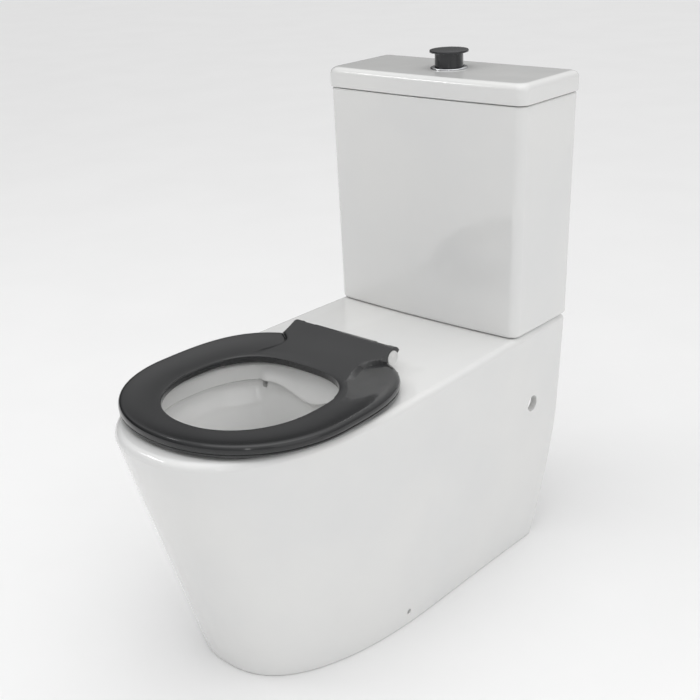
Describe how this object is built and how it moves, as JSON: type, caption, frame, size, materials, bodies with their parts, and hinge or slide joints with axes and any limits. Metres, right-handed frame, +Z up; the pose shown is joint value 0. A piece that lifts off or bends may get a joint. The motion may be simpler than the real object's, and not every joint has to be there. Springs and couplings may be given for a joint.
{
  "type": "close coupled toilet",
  "caption": "Raised-height back-to-wall close coupled toilet with full skirt, cistern with raised push button, and a dark grey single seat ring on a wrapped barrel hinge.",
  "frame": {"origin": "on the floor, under the middle of the object's bounding box, 400 mm in front of the wall", "axes": "+Z up, -Y towards the user in front of the pan, +X to the right seen from the front"},
  "size_m": [0.3972, 0.8, 0.8752],
  "materials": {
    "vitreous_china": "gloss glaze",
    "seat_plastic": "polished thermoset",
    "button_grey": "satin moulded",
    "chrome_ring": "bright plated",
    "white_plastic": "moulded",
    "hinge_white": "moulded gloss",
    "blue_plastic": "moulded",
    "grey_plastic": "moulded",
    "black_rubber": "moulded",
    "stainless_steel": "drawn",
    "brass": "machined"
  },
  "bodies": {
    "pan_and_cistern": {"pan": "vitreous_china", "cistern_tank": "vitreous_china", "flush_valve_base": "white_plastic", "flush_valve_nut": "white_plastic", "fill_valve_body": "white_plastic", "fill_valve_nut": "white_plastic", "flush_valve_cage": "blue_plastic", "fill_valve_cap": "blue_plastic", "flush_valve_washer": "black_rubber", "pan_coupling_gasket": "black_rubber", "fill_valve_washer": "black_rubber", "lever_pin": "stainless_steel", "float_arm_pin": "stainless_steel", "hinge_rod": "stainless_steel", "coupling_bolt_left": "brass", "coupling_washer_left": "brass", "coupling_nut_left": "brass", "coupling_seal_left": "black_rubber", "hinge_barrel_left": "hinge_white", "hinge_bolt_left": "stainless_steel", "hinge_seal_left": "black_rubber", "hinge_nut_left": "white_plastic", "floor_bracket_left": "white_plastic", "side_screw_left": "stainless_steel", "coupling_bolt_right": "brass", "coupling_washer_right": "brass", "coupling_nut_right": "brass", "coupling_seal_right": "black_rubber", "hinge_barrel_right": "hinge_white", "hinge_bolt_right": "stainless_steel", "hinge_seal_right": "black_rubber", "hinge_nut_right": "white_plastic", "floor_bracket_right": "white_plastic", "side_screw_right": "stainless_steel"},
    "lid": {"cistern_lid": "vitreous_china", "button_bezel": "chrome_ring", "button_nut": "white_plastic", "button_spring": "stainless_steel"},
    "button": {"flush_button": "button_grey", "push_rod": "grey_plastic"},
    "valve_tube": {"overflow_tube": "white_plastic", "flush_seal": "black_rubber", "lift_link": "stainless_steel"},
    "lever": {"lift_lever": "white_plastic"},
    "float": {"float_cup": "blue_plastic", "float_rod": "grey_plastic"},
    "float_lever": {"float_arm": "white_plastic"},
    "seat": {"seat_ring": "seat_plastic", "seat_buffer_front_left": "black_rubber", "seat_buffer_front_right": "black_rubber", "seat_buffer_rear_left": "black_rubber", "seat_buffer_rear_right": "black_rubber"}
  },
  "joints": [
    {"name": "seat_hinge", "type": "hinge", "parent": "pan_and_cistern", "child": "seat", "pos_m": [0, 0.0245, 0.449], "axis": [-1, 0, 0], "range_deg": [0, 120.5]},
    {"name": "lid_lift", "type": "slide", "parent": "pan_and_cistern", "child": "lid", "axis": [0, 0, 1], "range_m": [0, 0.12]},
    {"name": "flush_press", "type": "slide", "parent": "lid", "child": "button", "axis": [0, 0, -1], "range_m": [0, 0.008], "stiffness_N_per_m": 350, "springref_m": -0.004, "deforming": ["button_spring"]},
    {"name": "lever_tilt", "type": "hinge", "parent": "pan_and_cistern", "child": "lever", "pos_m": [0.02, 0.317, 0.77], "axis": [0, -1, 0], "range_deg": [0, 22.5]},
    {"name": "valve_lift", "type": "slide", "parent": "pan_and_cistern", "child": "valve_tube", "axis": [0, 0, 1], "range_m": [0, 0.0135]},
    {"name": "float_rise", "type": "slide", "parent": "pan_and_cistern", "child": "float", "axis": [0, 0, 1], "range_m": [0, 0.012]},
    {"name": "float_arm_tilt", "type": "hinge", "parent": "pan_and_cistern", "child": "float_lever", "pos_m": [-0.146, 0.317, 0.752], "axis": [0, -1, 0], "range_deg": [0, 23.5]}
  ],
  "couplings": [
    {"joint": "lever_tilt", "follows": "flush_press", "rad_per_m": 47.56},
    {"joint": "valve_lift", "follows": "flush_press", "ratio": 1.65},
    {"joint": "float_arm_tilt", "follows": "float_rise", "rad_per_m": 33.56}
  ]
}
